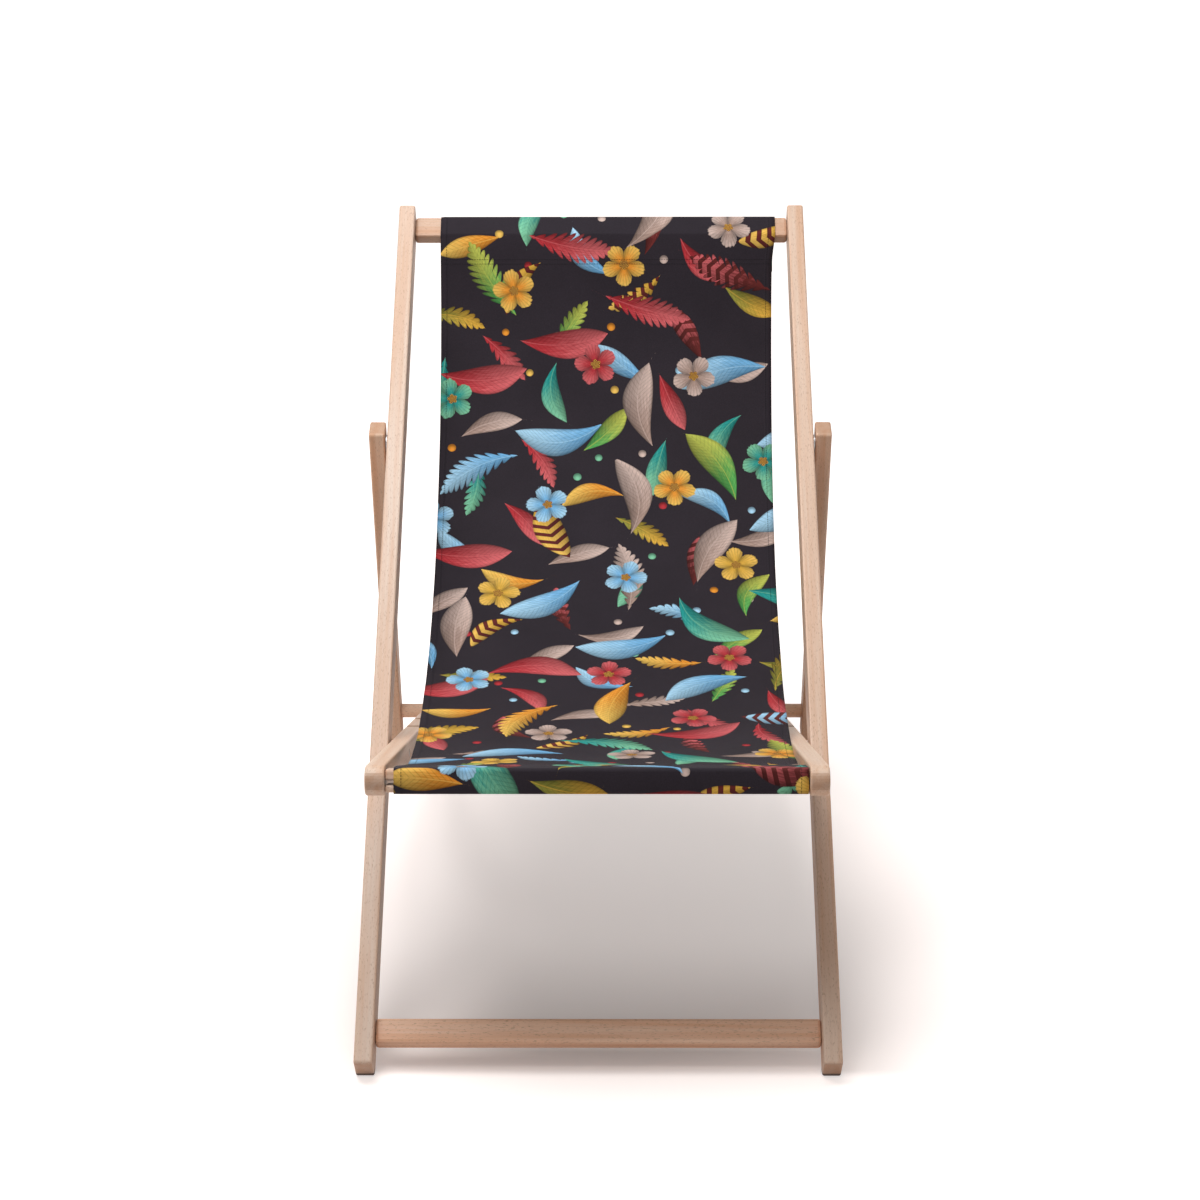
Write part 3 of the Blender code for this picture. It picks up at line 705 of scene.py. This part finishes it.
def printed_colour(recipe, u, v, thread):
    """Black threads with berries, leaves and flowers printed over one another."""
    mottle = recipe.grain(u * MOTTLE_REPEATS, v * MOTTLE_REPEATS, 2.5, 3.0)
    colour = recipe.blend(thread, CANVAS_BLACK, CANVAS_GREY)
    colour = recipe.shade(colour, 0.75 + mottle * 0.5)
    large = Scatter(recipe, u, v, **LARGE_GRID)
    medium = Scatter(recipe, u, v, **MEDIUM_GRID)
    flowers = Scatter(recipe, u, v, **FLOWER_GRID)
    small = Scatter(recipe, u, v, **BERRY_GRID)
    for mask, ink in (berry(small, BERRY_REACH), leaf(medium, **MEDIUM_LEAF),
                      leaf(large, **LARGE_LEAF), blossom(flowers, FLOWER_REACH)):
        colour = recipe.blend(mask, colour, ink)
    return recipe.shade(colour, 0.78 + thread * 0.26)


def stitched(place, line, running):
    """Mask of a row of stitches along a line, from the distance across and along it."""
    row = abs(place - line).ramp(*STITCH_EDGE)
    return row * (running / STITCH_LENGTH).fraction().below(STITCH_SHARE)


def stitch_rows(u, v, seams):
    """Mask of the row along each hem and the two rows at each pocket seam."""
    rows = stitched(abs(u), FRONT_WIDTH / 2 - HEM_WIDTH * HEM_ROW_SHARE, v)
    for seam in seams:
        for line in (seam - SEAM_ROW_OFFSET, seam + SEAM_ROW_OFFSET):
            rows = rows.most(stitched(v, line, u))
    return rows


def printed_canvas(name, seams):
    """Black canvas with a botanical print, a plain weave, sewn hems and pocket seams."""
    material, recipe, shader = new_material(name)
    flat = recipe.node("UVMap", {"uv_map": "cut"}, {})
    u, v = recipe.split(flat)[:2]
    u = (u - 0.5) * CUT_SPAN
    v = v * CUT_SPAN
    thread = recipe.grain(u * THREAD_REPEATS, v * THREAD_REPEATS, 0.5)
    rows = stitch_rows(u, v, seams)
    print_colour = printed_colour(recipe, u, v, thread)
    colour = recipe.blend(rows * STITCH_SHADE, print_colour, STITCH_BLACK)
    recipe.feed(shader.inputs["Base Color"], colour)
    recipe.feed(shader.inputs["Roughness"], CANVAS_ROUGHNESS + thread * 0.22)

    warp = (u * (math.tau / WEAVE_PITCH)).sine()
    weft = (v * (math.tau / WEAVE_PITCH)).sine()
    hem_start = FRONT_WIDTH / 2 - HEM_WIDTH
    hem = abs(u).ramp(hem_start, hem_start + HEM_EDGE)
    pucker = recipe.grain(u * PUCKER_REPEATS[0], v * PUCKER_REPEATS[1], 4.5)
    relief = warp * weft * 0.16 + thread * 0.12 + rows * 0.8 + hem * 0.9 + hem * pucker * 0.8
    raise_relief(recipe, shader, relief, *CANVAS_BUMP)
    shader.inputs["Sheen Weight"].default_value = CANVAS_SHEEN
    shader.inputs["Sheen Roughness"].default_value = CANVAS_SHEEN_ROUGHNESS
    shader.inputs["Specular IOR Level"].default_value = CANVAS_SPECULAR
    return material


def bar_outline(centre, slope, section, rounding):
    """Side-view points round a bar that has rounded corners, with room for the cloth."""
    height, width = section
    turn = Matrix.Rotation(slope, 2)
    points = []
    for corner, (along, out) in enumerate(((1, 1), (-1, 1), (-1, -1), (1, -1))):
        core = Vector((along * (width / 2 - rounding), out * (height / 2 - rounding)))
        for step in range(CORNER_STEPS + 1):
            angle = math.pi / 2 * (corner + step / CORNER_STEPS)
            reach = Vector((math.cos(angle), math.sin(angle))) * (rounding + POCKET_EASE)
            points.append(centre + turn @ (core + reach))
    return points


def turning(first, second, third):
    """Positive where three side-view points turn anticlockwise."""
    return (second - first).cross(third - second)


def wrap(outline, near, far):
    """The taut path of the cloth from one seam point round a bar to the other."""
    ordered = sorted(outline + [near, far], key=lambda point: (point.x, point.y))
    chains = []
    for run in (ordered, ordered[::-1]):
        chain = []
        for point in run:
            while len(chain) > 1 and turning(chain[-2], chain[-1], point) <= 0:
                chain.pop()
            chain.append(point)
        chains.append(chain[:-1])
    loop = chains[0] + chains[1]
    start = loop.index(near)
    loop = loop[start:] + loop[:start]
    if (loop[1] - far).length < SAME_PLACE:
        loop = [near] + loop[:0:-1]
    return loop


def hang_down():
    """Way in which the sheet leaves the top seam, in side view."""
    return Vector((-math.cos(TOP_HANG_ANGLE), -math.sin(TOP_HANG_ANGLE)))


def hanging(top_seam, front_seam):
    """Side view of the sheet between its two seams."""
    chord = (front_seam - top_seam).length
    back = Vector((math.cos(FRONT_HANG_ANGLE), -math.sin(FRONT_HANG_ANGLE)))
    first = top_seam + hang_down() * (chord * TOP_HANG_REACH)
    second = front_seam + back * (chord * FRONT_HANG_REACH)
    points = []
    for step in range(HANG_STEPS + 1):
        share = step / HANG_STEPS
        rest = 1 - share
        points.append(top_seam * rest ** 3 + first * (3 * rest * rest * share)
                      + second * (3 * rest * share * share) + front_seam * share ** 3)
    return points


def sling_path():
    """The whole cloth in side view, from its upper hem to its front hem, and its two seams."""
    top_bar = middle("top_bar").yz
    battens = middle("front_batten_upper", "front_batten_lower").yz
    down = hang_down()
    bar_height, bar_width = TOP_BAR_SECTION
    lip = Matrix.Rotation(STILE_SLOPE, 2) @ Vector((-bar_width / 2, bar_height / 2))
    top_seam = top_bar + lip + down * TOP_SEAM_BELOW
    behind = Vector((FRONT_SEAM_BEHIND, BATTEN_PAIR_SECTION[0] / 2))
    front_seam = battens + Matrix.Rotation(RAIL_SLOPE, 2) @ behind

    sheet = hanging(top_seam, front_seam)
    top_back = top_seam + Vector((-down.y, down.x)) * LAYER_SPACING
    front_way = (sheet[-2] - front_seam).normalized()
    front_under = front_seam + Vector((front_way.y, -front_way.x)) * LAYER_SPACING
    top_bar_round = bar_outline(top_bar, STILE_SLOPE, TOP_BAR_SECTION, TOP_BAR_ROUNDING)
    battens_round = bar_outline(battens, RAIL_SLOPE, BATTEN_PAIR_SECTION, BATTEN_ROUNDING)
    path = [top_back + down * SEAM_ALLOWANCE]
    path += wrap(top_bar_round, top_back, top_seam)
    path += sheet[1:-1]
    path += wrap(battens_round, front_seam, front_under)
    path += [front_under + front_way * SEAM_ALLOWANCE]
    return path, top_seam, front_seam


def clamp(value):
    """The value, kept between 0 and 1."""
    return max(0.0, min(1.0, value))


def ripple(across, travelled, total):
    """How far the cloth stands off its side view, from soft folds and slack edges."""
    share = travelled / total
    free = clamp((share - FREE_START) * FREE_RATE) * clamp((FREE_END - share) * FREE_RATE)
    fold_place = (across * FOLD_REPEATS[0], travelled * FOLD_REPEATS[1], FOLD_SEED)
    folds = noise.noise(Vector(fold_place)) * FOLD_HEIGHT
    edge = max(0.0, abs(across) / (FRONT_WIDTH / 2) - SLACK_START) / (1 - SLACK_START)
    slack_place = (across * SLACK_REPEATS[0], travelled * SLACK_REPEATS[1], SLACK_SEED)
    slack = noise.noise(Vector(slack_place)) * SLACK_HEIGHT * edge * edge
    return (folds + slack) * free


def pocket_flare(share, travelled, seam):
    """How far the pocket's left edge stands out where it goes round the top bar."""
    from_hem = travelled - SEAM_ALLOWANCE - TOP_SEAM_BELOW
    to_seam = seam - TOP_SEAM_BELOW - travelled
    round_bar = clamp(min(from_hem, to_seam) / FLARE_FADE + 1)
    return POCKET_FLARE * round_bar * clamp((share - FLARE_START) * FLARE_RATE)


def cut_cloth(work, path, travelled):
    """Draw the side view into a sheet one metre wide, and give it its flat map."""
    row_of = work.verts.layers.float.new("row")
    cut = work.loops.layers.uv.new("cut")
    profile = [work.verts.new((-0.5, point.x, point.y)) for point in path]
    for index, vert in enumerate(profile):
        vert[row_of] = index
    for start, end in zip(profile, profile[1:]):
        work.edges.new((start, end))
    drawn = bmesh.ops.extrude_edge_only(work, edges=work.edges[:])
    far_side = [item for item in drawn["geom"] if isinstance(item, bmesh.types.BMVert)]
    bmesh.ops.translate(work, verts=far_side, vec=(1, 0, 0))
    rungs = [edge for edge in work.edges if abs(edge.verts[0].co.x - edge.verts[1].co.x) > 0.5]
    bmesh.ops.subdivide_edges(work, edges=rungs, cuts=WIDTH_STEPS - 1, use_grid_fill=True)
    bmesh.ops.recalc_face_normals(work, faces=work.faces)
    for face in work.faces:
        face.smooth = True
        for loop in face.loops:
            across = loop.vert.co.x * FRONT_WIDTH / CUT_SPAN + 0.5
            loop[cut].uv = (across, travelled[round(loop.vert[row_of])] / CUT_SPAN)


def hang_cloth(work, path, travelled, top_seam_at):
    """Give the sheet its tapering width, its place, its folds and the pocket's flare."""
    row_of = work.verts.layers.float["row"]
    total = travelled[-1]
    for vert in work.verts:
        index = round(vert[row_of])
        share = travelled[index] / total
        width = TOP_WIDTH + (FRONT_WIDTH - TOP_WIDTH) * share
        offset = TOP_OFFSET + (FRONT_OFFSET - TOP_OFFSET) * share
        before = path[max(index - 1, 0)]
        after = path[min(index + 1, len(path) - 1)]
        way = (after - before).normalized()
        stand = ripple(vert.co.x * width, travelled[index], total)
        flare = pocket_flare(vert.co.x, travelled[index], top_seam_at)
        vert.co.x = vert.co.x * width + offset + flare
        vert.co.y -= way.y * stand
        vert.co.z += way.x * stand


def sew_sling():
    """The canvas sheet, with a pocket sewn round the top bar and one round the battens."""
    path, top_seam, front_seam = sling_path()
    travelled = [0.0]
    for start, end in zip(path, path[1:]):
        travelled.append(travelled[-1] + (end - start).length)
    seams = [travelled[path.index(top_seam)], travelled[path.index(front_seam)]]
    work = bmesh.new()
    cut_cloth(work, path, travelled)
    hang_cloth(work, path, travelled, seams[0])
    cloth = finished_piece("sling_cloth", work)
    thickness = cloth.modifiers.new("thickness", "SOLIDIFY")
    thickness.thickness = CLOTH_THICK
    thickness.offset = 0.0
    thickness.use_even_offset = True
    dress(cloth, printed_canvas("printed_canvas", seams))
    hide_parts("sling")
    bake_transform(cloth, "long_frame", "seat_frame", start=BLEND_START, end=BLEND_END)


def finish_wood():
    """Give every wooden CAD node its own beech."""
    for index, (name, slope, section, tint_with_painted_light) in enumerate(BOARDS):
        seed = BOARD_SEED + BOARD_SEED_STEP * index
        dress(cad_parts[name], beech(name, slope, section, tint_with_painted_light, False, seed))
    for index, (name, slope, section, tint_with_painted_light, slot_side) in enumerate(BARS):
        seed = BAR_SEED + BAR_SEED_STEP * index
        dress(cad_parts[name], beech(name, slope, section, tint_with_painted_light, True, seed, slot_side))


def finish_steel():
    """Give every bolt, nut and washer its zinc plating."""
    plating = zinc("zinc_plating")
    for name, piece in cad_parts.items():
        if name.startswith(("main_", "prop_bolt", "prop_nut", "prop_washer")):
            dress(piece, plating)


def floor_glow(x, y):
    """How much of white the floor shows by itself: all of it away from the chair, and under it painted
    shadow and light.
    """
    # Painted shadow and light: the glow drops behind the bottom bar, rises to the rear and rises again just
    # in front of the bar
    painted_bar_shadow = y.ramp(BAR_PAINTED_SHADOW_START, BAR_SHADOW_BACK) * abs(x).ramp(*BAR_PAINTED_SHADOW_SIDES)
    ahead = y.ramp(BAR_SHADOW_BACK, BAR_SHADOW_FRONT)
    lift = (FLOOR_LIFT + y.ramp(*REAR_RISE) * REAR_PAINTED_LIGHT
            - painted_bar_shadow * (1 - ahead) * BAR_PAINTED_SHADOW + ahead * FRONT_PAINTED_LIGHT)
    away = distance(x, y - SHADOW_MIDDLE).ramp(*SHADOW_FADE)
    return lift + away * (1 - lift)


def lay_floor():
    """A pale studio floor that shows white and keeps the chair's shadow, with painted shadow and light in
    its glow under the chair.
    """
    work = bmesh.new()
    bmesh.ops.create_grid(work, x_segments=1, y_segments=1, size=FLOOR_SIZE)
    floor = finished_piece("studio_floor", work)
    material, recipe, shader = new_material("studio_paper")
    x, y = recipe.split(recipe.object_place())[:2]
    tooth = recipe.grain(x * TOOTH_REPEATS, y * TOOTH_REPEATS, 0.5)
    paper = recipe.shade(PAPER_WHITE, 0.985 + tooth * 0.03)
    recipe.feed(shader.inputs["Base Color"], paper)
    shader.inputs["Roughness"].default_value = PAPER_ROUGHNESS
    shader.inputs["Specular IOR Level"].default_value = PAPER_SPECULAR
    shader.inputs["Emission Strength"].default_value = 1.0
    glow = recipe.shade(GLOW_WHITE, floor_glow(x, y) * recipe.seen_rays())
    recipe.feed(shader.inputs["Emission Color"], glow)
    dress(floor, material)


def hang_lamp(name, place, aim, size, power):
    """A soft white square lamp that points at a place."""
    lamp = bpy.data.lights.new(name, "AREA")
    lamp.shape = "SQUARE"
    lamp.size = size
    lamp.energy = power
    holder = bpy.data.objects.new(name, lamp)
    bpy.context.scene.collection.objects.link(holder)
    way = Vector(aim) - Vector(place)
    turn = way.to_track_quat("-Z", "Y").to_matrix().to_4x4()
    holder.matrix_world = Matrix.Translation(place) @ turn


def light_studio():
    """A large lamp overhead to the left, a weak front fill and a white surround."""
    hang_lamp("overhead_lamp", **OVERHEAD_LAMP)
    hang_lamp("front_fill", **FRONT_FILL)
    world = bpy.data.worlds.new("studio_surround")
    world.use_nodes = True
    bpy.context.scene.world = world
    recipe = Recipe(world.node_tree)
    background = world.node_tree.nodes["Background"]
    recipe.feed(background.inputs["Color"], (1.0, 1.0, 1.0))
    strength = recipe.seen_rays() * (1 - SURROUND_FILL) + SURROUND_FILL
    recipe.feed(background.inputs["Strength"], strength)


def place_camera():
    """The photograph's point of view."""
    lens = bpy.data.cameras.new("studio_camera")
    lens.lens = CAMERA_LENS
    lens.sensor_width = SENSOR_WIDTH
    camera = bpy.data.objects.new("studio_camera", lens)
    bpy.context.scene.collection.objects.link(camera)
    turn = (Matrix.Rotation(CAMERA_PAN, 4, "Z") @ Matrix.Rotation(CAMERA_TILT, 4, "X")
            @ Matrix.Rotation(CAMERA_ROLL, 4, "Z"))
    camera.matrix_world = Matrix.Translation(CAMERA_PLACE) @ turn
    bpy.context.scene.camera = camera


place_camera()
finish_wood()
finish_steel()
sew_sling()
lay_floor()
light_studio()
bpy.context.scene.view_settings.view_transform = "Standard"
